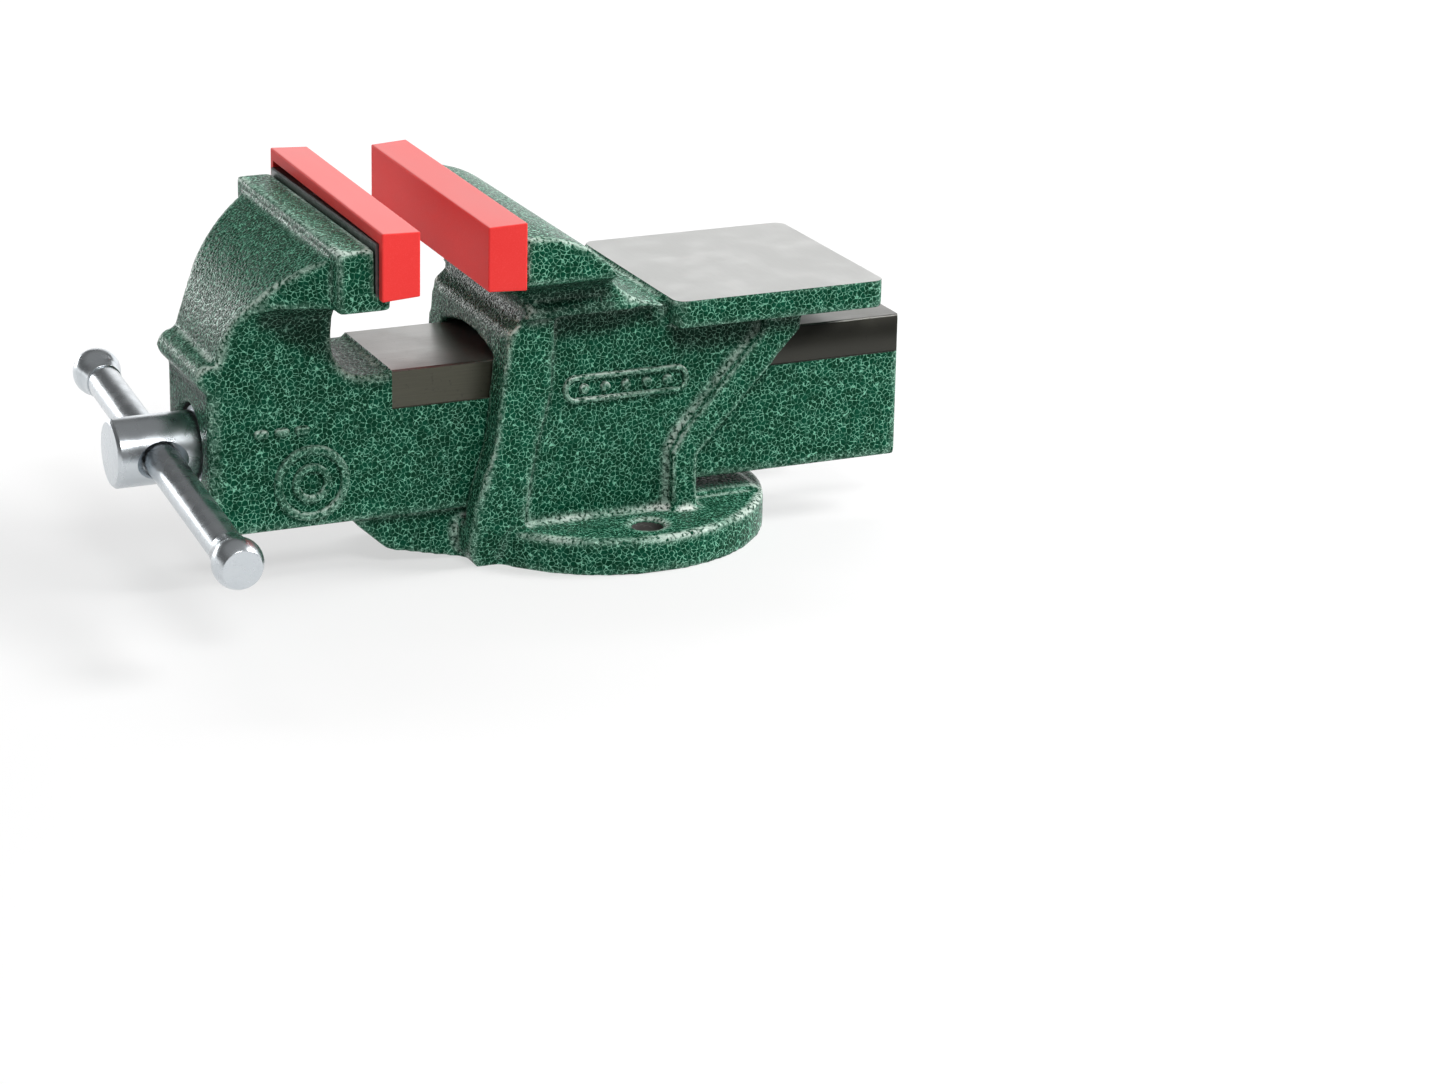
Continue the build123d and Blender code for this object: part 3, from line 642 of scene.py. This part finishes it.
def shape_attributes(mesh, voxel, gain=1.0):
    """Stores how far each point stands out of (crest) or into (hollow) the surface around it, and
    how much an overhang covers it, which the paint uses for a painted shadow."""
    count = len(mesh.vertices)
    place = np.empty(count * 3)
    normal = np.empty(count * 3)
    mesh.vertices.foreach_get("co", place)
    mesh.vertices.foreach_get("normal", normal)
    place, normal = place.reshape(-1, 3), normal.reshape(-1, 3)
    ends = np.empty(len(mesh.edges) * 2, int)
    mesh.edges.foreach_get("vertices", ends)
    first, second = ends.reshape(-1, 2).T
    degree = np.bincount(first, minlength=count) + np.bincount(second, minlength=count)

    def around(values):
        total = np.bincount(first, values[second], count) + np.bincount(second, values[first], count)
        return total / np.maximum(degree, 1)

    def blurred(values, rounds):
        for _ in range(rounds):
            values = 0.5 * (values + around(values))
        return values

    middle = np.stack([around(place[:, axis]) for axis in range(3)], axis=1)
    stands_out = blurred(((place - middle) * normal).sum(axis=1) / voxel, CREST_BLUR)
    store_attribute(mesh, "crest", (stands_out - CREST_START) * gain / CREST_SPAN)
    store_attribute(mesh, "hollow", (-stands_out - CREST_START) * gain / CREST_SPAN)
    painted_overhang_shadow = find_shelter(mesh, place, normal, RAY_LIFT * voxel)
    store_attribute(mesh, "painted_overhang_shadow", blurred(painted_overhang_shadow, SHELTER_BLUR))


# ---- castings --------------------------------------------------------------------------
PAINT, GROUND, IRON = 0, 1, 2
VOXEL = 1.0 * MM
SMOOTHING = 6
CASTING_FOLD = 50
SAME_POINT = 0.001 * MM
NEAR = 0.05 * MM
ALLOWANCE = 1.2 * MM
ANVIL_TOP = MOUNTS["anvil_face"]["pos_m"][2]
ANVIL_FRONT = 10.1 * MM
ANVIL_CUT_FRONT = ANVIL_FRONT - 2 * MM
ANVIL_CUT_REAR = 90 * MM
ANVIL_CUT_HALF = 44 * MM
ANVIL_CUT_TOP = ANVIL_TOP + 3 * MM
DRILL_START = -1 * MM
DRILL_LENGTH = 20 * MM
SLIDE_TOP = 64.95 * MM
SLIDE_HALF = 22.26 * MM
PAINTED_HALF = 22.8 * MM
WAY_BOTTOM = 52.85 * MM
WAY_FRONT = -77.7 * MM
WAY_CHAMFER = 0.45 * MM
WAY_CUT_HALF = PAINTED_HALF + 3 * MM
WAY_CUT_TOP = SLIDE_TOP + 4 * MM
WAY_CUT_REAR = 100 * MM
RECESS_R = 13.0 * MM
RECESS_START = -138 * MM
RECESS_FLOOR = -132.2 * MM
BEARING_R = 8.06 * MM
BEARING_END = -116 * MM


def allow_on_anvil(place):
    """Leaves metal on the anvil's top for the cutter to take off."""
    if place.x > ANVIL_FRONT - ALLOWANCE and place.z > ANVIL_TOP - NEAR:
        place.z += ALLOWANCE


def allow_on_slide(place):
    """Leaves metal on the slide's top and sides for the cutter to take off."""
    if place.x < WAY_FRONT - NEAR:
        return
    if place.z > SLIDE_TOP - NEAR and abs(place.y) < PAINTED_HALF:
        place.z += ALLOWANCE
    if place.z > WAY_BOTTOM - NEAR and abs(place.y) > SLIDE_HALF - NEAR:
        place.y = math.copysign(PAINTED_HALF, place.y)


def cast(name, node, body, leave_allowance, cutter, materials):
    """A casting with soft edges from its CAD node, machined afterwards by the cutter."""
    made = bmesh.new()
    made.from_mesh(frame["nodes"][node].data)
    bmesh.ops.remove_doubles(made, verts=made.verts, dist=SAME_POINT)
    for vertex in made.verts:
        leave_allowance(vertex.co)
    for face in made.faces:
        face.material_index = PAINT
    piece = new_piece(name, made, body, [node], materials)
    soften(piece, VOXEL, SMOOTHING)
    shape_attributes(piece.data, VOXEL)
    combine(piece, "DIFFERENCE", cutter, materials)
    mark_sharp(piece.data, CASTING_FOLD)
    piece.data.name = name
    return piece


def make_fixed_casting(materials):
    """The body, with its anvil ground flat and its bench bolt holes drilled."""
    cutter = bmesh.new()
    anvil = [
        (ANVIL_CUT_FRONT, -ANVIL_CUT_HALF),
        (ANVIL_CUT_REAR, -ANVIL_CUT_HALF),
        (ANVIL_CUT_REAR, ANVIL_CUT_HALF),
        (ANVIL_CUT_FRONT, ANVIL_CUT_HALF),
    ]
    prism(cutter, anvil, 2, ANVIL_TOP, ANVIL_CUT_TOP, GROUND)
    bolts = MOUNTS["bench_bolts"]["dims"]
    radius = bolts["hole_r_mm"] * MM
    drill = [(0, 0), (0, radius), (DRILL_LENGTH, radius), (DRILL_LENGTH, 0)]
    for side in (-1, 1):
        foot = Vector((0, side * bolts["spacing_y_mm"] / 2 * MM, DRILL_START))
        lathe(cutter, drill, foot, Vector((0, 0, 1)), 64, IRON)
    return cast("fixed_body_casting", "fixed_body", "fixed_body", allow_on_anvil, cutter, materials)


def make_moving_casting(materials):
    """The jaw and its slide, with the ways ground and the front wall bored for the screw."""
    cutter = bmesh.new()
    near_way = [
        (-WAY_CUT_HALF, WAY_BOTTOM),
        (-SLIDE_HALF, WAY_BOTTOM),
        (-SLIDE_HALF, SLIDE_TOP - WAY_CHAMFER),
        (-SLIDE_HALF + WAY_CHAMFER, SLIDE_TOP),
    ]
    far_way = [(-y, z) for y, z in reversed(near_way)]
    above = [(WAY_CUT_HALF, WAY_CUT_TOP), (-WAY_CUT_HALF, WAY_CUT_TOP)]
    prism(cutter, near_way + far_way + above, 0, WAY_FRONT, WAY_CUT_REAR, GROUND)
    bore = [
        (RECESS_START, 0),
        (RECESS_START, RECESS_R),
        (RECESS_FLOOR, RECESS_R),
        (RECESS_FLOOR, BEARING_R),
        (BEARING_END, BEARING_R),
        (BEARING_END, 0),
    ]
    lathe(cutter, bore, SCREW_FOOT, SCREW_DIRECTION, 96, IRON)
    return cast("moving_jaw_casting", "moving_jaw", "moving_jaw", allow_on_slide, cutter, materials)


# ---- lead screw and tommy bar ----------------------------------------------------------
JOURNAL_R = 8.0 * MM
THREAD_ROOT_R = 5.9 * MM
THREAD_PITCH = 4.0 * MM
THREAD_FRONT = -97.0 * MM
THREAD_COLUMNS = 72
# one turn of the thread, as (share of the pitch, radius)
THREAD_PROFILE = ((0.0, THREAD_ROOT_R), (0.3, THREAD_ROOT_R), (0.44, JOURNAL_R), (0.86, JOURNAL_R))
SHAFT_END = THREAD_FRONT + 1.5 * MM
SHAFT_END_R = THREAD_ROOT_R + 0.3 * MM
END_CHAMFER = 2 * MM
HEAD_R = 10.8 * MM
HEAD_RIM = 1.0 * MM
HEAD_REAR = -133.7 * MM
CROSS_HOLE_R = 6.1 * MM
MOUTH_R = CROSS_HOLE_R + 6 * MM
MOUTH_INNER = HEAD_R - 2 * MM
MOUTH_OUTER = HEAD_R + 4 * MM
BAR_R = 5.5 * MM
SPIGOT_R = 4.0 * MM
COLLAR_R = BAR_R + 0.35 * MM
KNOB_R = 7.7 * MM
KNOB_FLAT = 4.9 * MM
KNOB_SHOULDER = 4.4 * MM
KNOB_STEPS = 28
BAR_EDGE = 0.25 * MM
COLLAR_EDGE = 0.3 * MM
KNOB_EDGE = 0.5 * MM
SCREW_FOLD = 32
BAR_FOLD = 40


def add_thread(made, start, end):
    """Adds a right-hand trapezoidal thread about the screw's axis, cut square at both ends."""
    turns = math.ceil((end - start) / THREAD_PITCH) + 2
    columns = []
    for index in range(THREAD_COLUMNS):
        angle = 2 * math.pi * index / THREAD_COLUMNS
        spoke = Vector((0, math.cos(angle), math.sin(angle)))
        column = []
        for turn in range(turns):
            for share, radius in THREAD_PROFILE:
                along = start + THREAD_PITCH * (turn - 1 + share - index / THREAD_COLUMNS)
                place = spoke * radius + Vector((along, 0, SCREW_ORIGIN.z))
                column.append(made.verts.new(place))
        columns.append(column)
    for index in range(THREAD_COLUMNS):
        first, second = columns[index], columns[(index + 1) % THREAD_COLUMNS]
        wrap = 0 if index + 1 < THREAD_COLUMNS else -len(THREAD_PROFILE)
        for level in range(max(0, -wrap), len(first) - 1):
            other = level + wrap
            made.faces.new((first[level], first[level + 1], second[other + 1], second[other]))
    for plane, normal in ((start, -1), (end, 1)):
        bmesh.ops.bisect_plane(
            made,
            geom=made.verts[:] + made.edges[:] + made.faces[:],
            plane_co=(plane, 0, 0),
            plane_no=(normal, 0, 0),
            clear_outer=True,
        )
    bmesh.ops.delete(made, geom=[v for v in made.verts if not v.link_faces], context="VERTS")
    bmesh.ops.holes_fill(made, edges=made.edges[:], sides=0)
    for vertex in made.verts:
        spoke = Vector((0, vertex.co.y, vertex.co.z - SCREW_ORIGIN.z))
        limit = JOURNAL_R - max(0.0, vertex.co.x - (end - END_CHAMFER))
        if spoke.length > limit:
            spoke *= limit / spoke.length
            vertex.co.y, vertex.co.z = spoke.y, spoke.z + SCREW_ORIGIN.z
    bmesh.ops.recalc_face_normals(made, faces=made.faces[:])


def turned(name, node, body, profile, origin, direction, segments, material):
    """A zinc plated piece of revolution that stands for a CAD node."""
    made = bmesh.new()
    lathe(made, profile, origin, direction, segments)
    return new_piece(name, made, body, [node], [material])


def make_lead_screw(material):
    name, node = "lead_screw_threaded", "lead_screw"
    front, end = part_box("lead_screw")[0].x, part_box("lead_screw")[1].x
    profile = [
        (front, 0),
        (front, HEAD_R - HEAD_RIM),
        (front + HEAD_RIM, HEAD_R),
        (HEAD_REAR, HEAD_R),
        (HEAD_REAR, JOURNAL_R),
        (THREAD_FRONT - 1 * MM, JOURNAL_R),
        (SHAFT_END, SHAFT_END_R),
        (SHAFT_END, 0),
    ]
    profile = rounded(profile, BAR_EDGE)
    screw = turned(name, node, "lead_screw", profile, SCREW_FOOT, SCREW_DIRECTION, 128, material)
    thread = bmesh.new()
    add_thread(thread, THREAD_FRONT, end)
    combine(screw, "UNION", thread)
    cross_hole = [
        (-MOUTH_OUTER, 0),
        (-MOUTH_OUTER, MOUTH_R),
        (-MOUTH_INNER, CROSS_HOLE_R),
        (MOUTH_INNER, CROSS_HOLE_R),
        (MOUTH_OUTER, MOUTH_R),
        (MOUTH_OUTER, 0),
    ]
    hole = bmesh.new()
    lathe(hole, cross_hole, SCREW_ORIGIN, BAR_DIRECTION, 64)
    combine(screw, "DIFFERENCE", hole)
    mark_sharp(screw.data, SCREW_FOLD)


def extent(node, direction):
    """How far a CAD node reaches from the cross hole along a direction, as (lowest, highest)."""
    vertices = frame["nodes"][node].data.vertices
    along = [(vertex.co - SCREW_ORIGIN).dot(direction) for vertex in vertices]
    return min(along), max(along)


def make_tommy_bar(material):
    name, node = "tommy_bar", "handle_bar"
    low_end, high_end = extent(node, BAR_DIRECTION)
    near_inner = extent("handle_knob_near", BAR_DIRECTION)[1]
    far_inner = extent("handle_knob_far", BAR_DIRECTION)[0]
    profile = [
        (low_end, 0),
        (low_end, SPIGOT_R),
        (near_inner, SPIGOT_R),
        (near_inner, BAR_R),
        (far_inner, BAR_R),
        (far_inner, SPIGOT_R),
        (high_end, SPIGOT_R),
        (high_end, 0),
    ]
    profile = rounded(profile, BAR_EDGE)
    bar = turned(name, node, "handle", profile, SCREW_ORIGIN, BAR_DIRECTION, 96, material)
    mark_sharp(bar.data, BAR_FOLD)


def make_knob(node, name, outward, material):
    """A ball with a flat end; its short collar meets the bar."""
    direction = BAR_DIRECTION * outward
    inner, outer = extent(node, direction)
    bore_end = extent("handle_bar", direction)[1]
    ball = outer - KNOB_FLAT
    start = math.asin(-KNOB_SHOULDER / KNOB_R)
    stop = math.asin(KNOB_FLAT / KNOB_R)
    arc = []
    for step in range(KNOB_STEPS + 1):
        angle = start + (stop - start) * step / KNOB_STEPS
        arc.append((ball + KNOB_R * math.sin(angle), KNOB_R * math.cos(angle)))
    collar = [(bore_end, 0), (bore_end, SPIGOT_R), (inner, SPIGOT_R), (inner, COLLAR_R), arc[0]]
    collar = rounded(collar, COLLAR_EDGE)
    rim = rounded([arc[-2], arc[-1], (outer, 0)], KNOB_EDGE)
    profile = collar[:-1] + arc[:-2] + rim
    knob = turned(name, node, "handle", profile, SCREW_ORIGIN, direction, 96, material)
    mark_sharp(knob.data, BAR_FOLD)


# ---- plain raised marks on the castings ------------------------------------------------
# a place on the wall is (along the vise, up)
MARK_HEIGHT = 1.7 * MM
MARK_SUNK = 0.8 * MM
MARK_VOXEL = 0.45 * MM
MARK_SMOOTHING = 5
MARK_GAIN = 9.0
RAY_START_Y = -0.2
RINGS_CENTRE = (-104 * MM, 32.5 * MM)
RING_RADII = ((12 * MM, 9.4 * MM), (6.2 * MM, 3.8 * MM))
BAR_MARK_STARTS = (-122 * MM, -115.5 * MM, -109 * MM)
BAR_MARK_LENGTH = 4.5 * MM
BAR_MARK_BOTTOM = 48.5 * MM
BAR_MARK_TOP = 51 * MM
BAR_MARK_CORNER_R = 1 * MM
FRAME_LOW = (-24 * MM, 50 * MM)
FRAME_HIGH = (18 * MM, 59 * MM)
FRAME_CORNER_R = 4 * MM
FRAME_WIDTH = 1.6 * MM
DOT_COUNT = 5
DOT_UP = 54.5 * MM
DOT_R = 1.6 * MM
DOT_STEPS = 24


def wall_place(casting, x, z, depth):
    """The point at (x, z) on the casting's near wall, moved depth inwards."""
    wall = casting.ray_cast(Vector((x, RAY_START_Y, z)), Vector((0, 1, 0)))[1]
    return Vector((x, wall.y + depth, z))


def raise_loop(made, casting, outer, inner=()):
    """Adds a flat mark that stands out of the near wall: a filled outline, or a band between two."""
    loops = [(outer, MARK_SUNK), (outer, -MARK_HEIGHT)]
    if inner:
        loops += [(inner, -MARK_HEIGHT), (inner, MARK_SUNK)]
    rings = []
    for loop, depth in loops:
        rings.append([made.verts.new(wall_place(casting, x, z, depth)) for x, z in loop])
    faces = []
    for first, second in zip(rings, rings[1:] + (rings[:1] if inner else [])):
        for index in range(len(first)):
            after = (index + 1) % len(first)
            faces.append(made.faces.new((first[index], first[after], second[after], second[index])))
    if not inner:
        faces += [made.faces.new(rings[0]), made.faces.new(rings[1])]
    bmesh.ops.recalc_face_normals(made, faces=faces)


def ring_points(centre, radius, steps=64):
    points = []
    for index in range(steps):
        turn = 2 * math.pi * index / steps
        points.append((centre[0] + radius * math.cos(turn), centre[1] + radius * math.sin(turn)))
    return points


def frame_points(low, high, radius, inset=0.0, steps=8):
    """A rectangle with round corners, drawn in by inset."""
    points = []
    for number, (right, upper) in enumerate(((1, 1), (0, 1), (0, 0), (1, 0))):
        centre_x = high[0] - radius if right else low[0] + radius
        centre_z = high[1] - radius if upper else low[1] + radius
        arm = radius - inset
        for step in range(steps + 1):
            turn = math.pi / 2 * (number + step / steps)
            points.append((centre_x + arm * math.cos(turn), centre_z + arm * math.sin(turn)))
    return points


def cast_mark(made, name, body, material):
    mark = new_piece(name, made, body, [], [material])
    soften(mark, MARK_VOXEL, MARK_SMOOTHING)
    shape_attributes(mark.data, MARK_VOXEL, MARK_GAIN)
    mark.data.shade_smooth()


def make_moving_jaw_mark(casting, material):
    """Two rings and three bars."""
    made = bmesh.new()
    for outer, inner in RING_RADII:
        raise_loop(made, casting, ring_points(RINGS_CENTRE, outer), ring_points(RINGS_CENTRE, inner))
    for start in BAR_MARK_STARTS:
        low, high = (start, BAR_MARK_BOTTOM), (start + BAR_MARK_LENGTH, BAR_MARK_TOP)
        raise_loop(made, casting, frame_points(low, high, BAR_MARK_CORNER_R))
    cast_mark(made, "moving_jaw_mark", "moving_jaw", material)


def make_fixed_body_mark(casting, material):
    """A round-cornered frame with a row of dots in it."""
    made = bmesh.new()
    outer = frame_points(FRAME_LOW, FRAME_HIGH, FRAME_CORNER_R)
    inner = frame_points(FRAME_LOW, FRAME_HIGH, FRAME_CORNER_R, FRAME_WIDTH)
    raise_loop(made, casting, outer, inner)
    for number in range(1, DOT_COUNT + 1):
        x = FRAME_LOW[0] + (FRAME_HIGH[0] - FRAME_LOW[0]) * number / (DOT_COUNT + 1)
        raise_loop(made, casting, ring_points((x, DOT_UP), DOT_R, DOT_STEPS))
    cast_mark(made, "fixed_body_mark", "fixed_body", material)


# ---- the model -------------------------------------------------------------------------
make_camera()
make_world()
make_floor()
make_lights()
bpy.context.scene.view_settings.view_transform = "Standard"

hammertone = make_hammertone()
ground_steel = make_ground_steel()
slide_steel = make_slide_steel()
bare_iron = make_bare_iron()
bright_zinc = make_zinc("bright_zinc", 0.22, 0.32)
dull_zinc = make_zinc("dull_zinc", 0.24, 0.36)
nickel = make_zinc("nickel", 0.12, 0.22)
plate_greys = rgb(0.1, 0.105, 0.105), rgb(0.17, 0.175, 0.175)
plate_steel = make_dark_steel("plate_steel", *plate_greys, 0.3, 0.42)
black_greys = rgb(0.012, 0.012, 0.013), rgb(0.05, 0.05, 0.052)
black_steel = make_dark_steel("black_steel", *black_greys, 0.35, 0.5)
spring_greys = rgb(0.12, 0.12, 0.125), rgb(0.3, 0.3, 0.31)
spring_steel = make_dark_steel("spring_steel", *spring_greys, 0.25, 0.4)
red_plastic = make_red_plastic()

NODE_MATERIALS = {
    "fixed_jaw_plate": plate_steel,
    "moving_jaw_plate": plate_steel,
    "fixed_jaw_screws": black_steel,
    "moving_jaw_screws": black_steel,
    "fixed_pad": red_plastic,
    "moving_pad": red_plastic,
    "fixed_pad_magnets": nickel,
    "moving_pad_magnets": nickel,
    "lead_screw_nut": bare_iron,
    "nut_bolts": dull_zinc,
    "nut_bolt_washers": dull_zinc,
    "thrust_washer": dull_zinc,
    "screw_spring": spring_steel,
    "retaining_washer": dull_zinc,
    "retaining_pin": spring_steel,
}
for node_name, node_material in NODE_MATERIALS.items():
    for material_slot in frame["nodes"][node_name].material_slots:
        material_slot.link = "OBJECT"
        material_slot.material = node_material

fixed_casting = make_fixed_casting([hammertone, ground_steel, bare_iron])
moving_casting = make_moving_casting([hammertone, slide_steel, bare_iron])
make_lead_screw(bright_zinc)
make_tommy_bar(bright_zinc)
make_knob("handle_knob_near", "near_knob", -1, bright_zinc)
make_knob("handle_knob_far", "far_knob", 1, bright_zinc)
make_moving_jaw_mark(moving_casting, hammertone)
make_fixed_body_mark(fixed_casting, hammertone)
